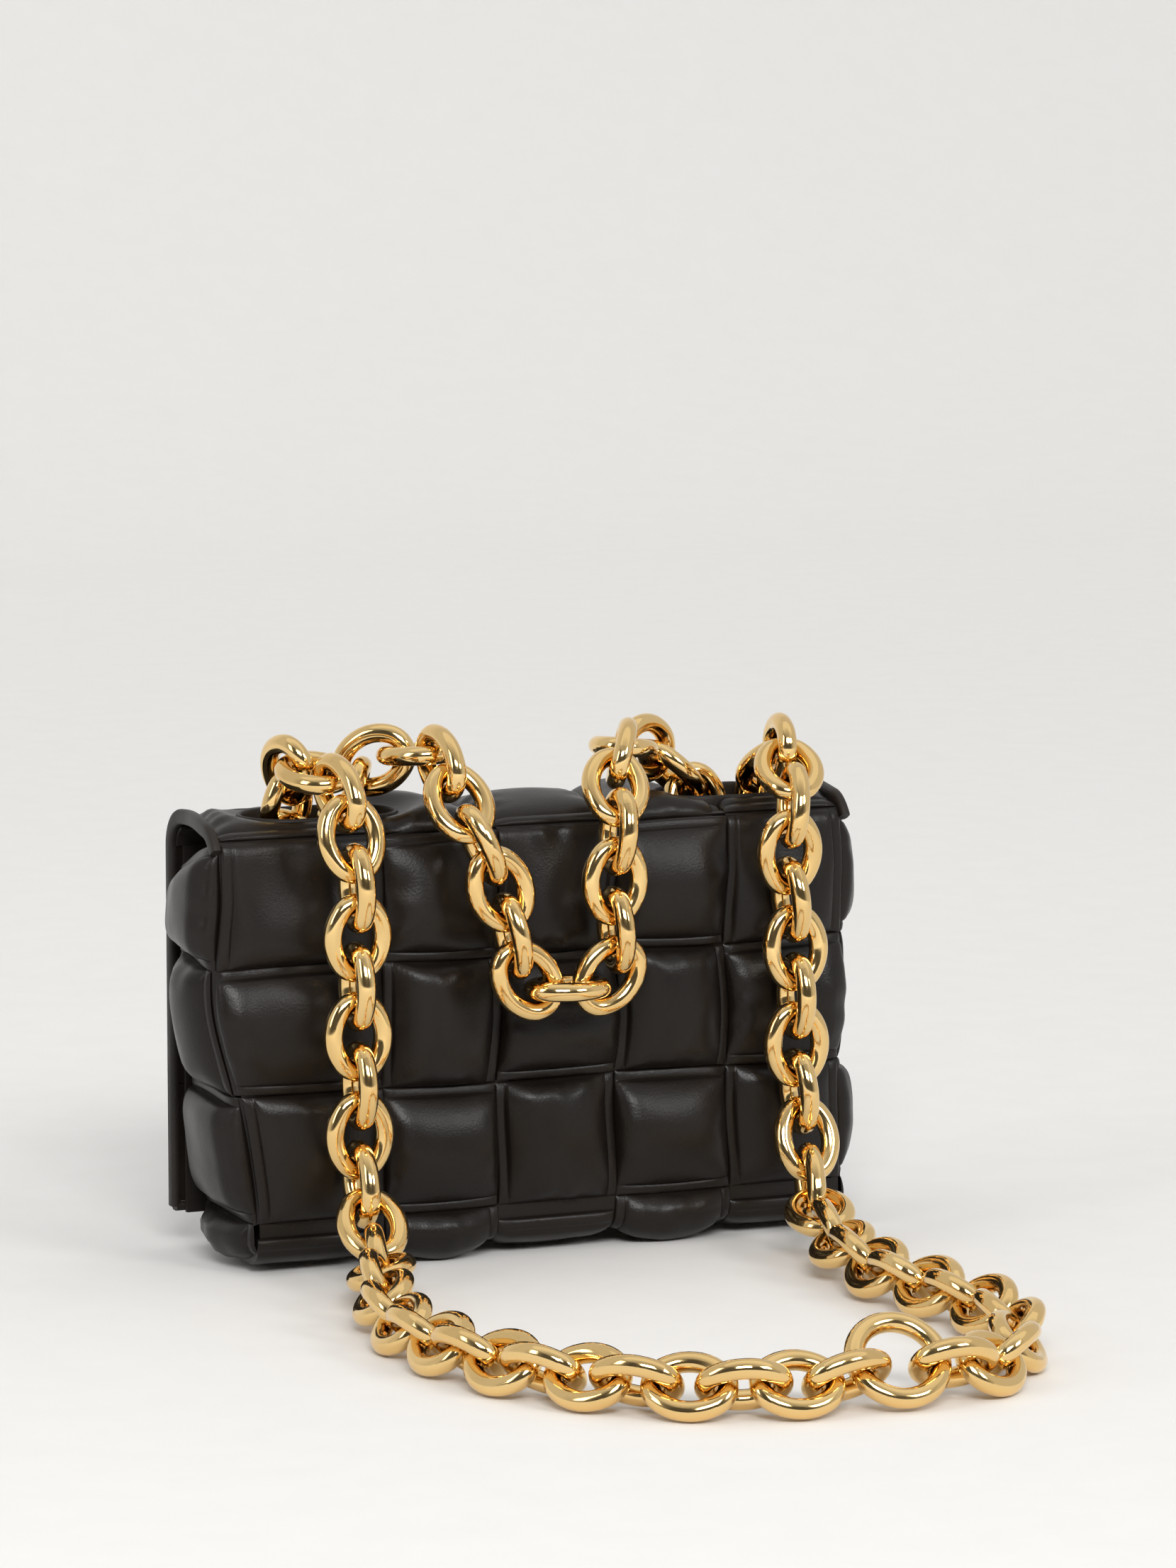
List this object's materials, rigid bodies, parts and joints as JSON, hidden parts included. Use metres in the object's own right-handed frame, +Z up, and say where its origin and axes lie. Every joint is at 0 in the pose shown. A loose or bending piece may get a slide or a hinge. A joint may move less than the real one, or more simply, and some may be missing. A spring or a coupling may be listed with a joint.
{
  "type": "chain shoulder bag",
  "caption": "Flap shoulder bag of woven padded leather strips with a heavy oval-link chain strap threaded through slots in the top.",
  "frame": {"origin": "on the floor, under the centre of the bag body", "axes": "+X to the right along the width as the back panel is seen, +Y from the woven back panel in the picture towards the flap side, +Z up"},
  "size_m": [0.2563, 0.3698, 0.2039],
  "materials": {
    "woven_leather": "satin black pebbled leather",
    "panel_leather": "smooth black lining leather",
    "chain_gold": "polished, gold tone",
    "zip_metal": "polished, gold tone",
    "magnet_steel": "satin",
    "lining_cloth": "matt black cloth"
  },
  "bodies": {
    "body": {"back_panel": "panel_leather", "base_band": "woven_leather", "base_panel": "panel_leather", "base_strip_1": "woven_leather", "base_strip_2": "woven_leather", "base_strip_3": "woven_leather", "base_strip_4": "woven_leather", "base_strip_5": "woven_leather", "chain_inner_back": "chain_gold", "chain_inner_front": "chain_gold", "chain_top_left": "chain_gold", "chain_top_right": "chain_gold", "cross_band_1": "woven_leather", "cross_band_2": "woven_leather", "cross_band_3": "woven_leather", "front_panel": "panel_leather", "left_gusset": "panel_leather", "panel_magnets": "magnet_steel", "pocket_bag": "lining_cloth", "right_gusset": "panel_leather", "side_strip_left": "woven_leather", "side_strip_right": "woven_leather", "slot_binding_left": "woven_leather", "slot_binding_right": "woven_leather", "top_band": "woven_leather", "top_fold": "woven_leather", "top_panel": "panel_leather", "upright_strip_1": "woven_leather", "upright_strip_2": "woven_leather", "upright_strip_3": "woven_leather", "upright_strip_4": "woven_leather", "upright_strip_5": "woven_leather", "zip_tape": "lining_cloth", "zip_teeth": "zip_metal"},
    "flap": {"flap_band_1": "woven_leather", "flap_band_2": "woven_leather", "flap_band_3": "woven_leather", "flap_binding": "woven_leather", "flap_lining": "panel_leather", "flap_magnets": "magnet_steel", "flap_strip_1": "woven_leather", "flap_strip_2": "woven_leather", "flap_strip_3": "woven_leather", "flap_strip_4": "woven_leather", "flap_strip_5": "woven_leather"},
    "swag": {"chain_swag": "chain_gold"},
    "strap_drops": {"chain_drop_left": "chain_gold", "chain_drop_right": "chain_gold"},
    "strap_loop": {"chain_floor_left": "chain_gold", "chain_floor_right": "chain_gold", "chain_ring": "chain_gold"},
    "zip_slider": {"zip_slider": "zip_metal"},
    "zip_pull": {"zip_pull": "zip_metal"}
  },
  "joints": [
    {"name": "flap_open", "type": "hinge", "parent": "body", "child": "flap", "pos_m": [0, 0.0363, 0.163], "axis": [1, 0, 0], "range_deg": [0, 165]},
    {"name": "swag_swing", "type": "hinge", "parent": "body", "child": "swag", "pos_m": [-0.01262, -0.05245, 0.16692], "axis": [-0.9992, 0, -0.0401], "range_deg": [0, 60]},
    {"name": "strap_swing", "type": "hinge", "parent": "body", "child": "strap_drops", "pos_m": [-0.00123, -0.0524, 0.14572], "axis": [-0.9964, -0.0137, 0.0835], "range_deg": [0, 35]},
    {"name": "loop_lift", "type": "hinge", "parent": "strap_drops", "child": "strap_loop", "pos_m": [0.001, -0.05249, 0.07188], "axis": [-0.9966, -0.0027, 0.0822], "range_deg": [0, 45]},
    {"name": "zip_slide", "type": "slide", "parent": "body", "child": "zip_slider", "axis": [1, 0, 0], "range_m": [0, 0.1344]},
    {"name": "pull_swing", "type": "hinge", "parent": "zip_slider", "child": "zip_pull", "pos_m": [-0.0672, -0.0187, 0.1032], "axis": [1, 0, 0], "range_deg": [0, 80]}
  ]
}
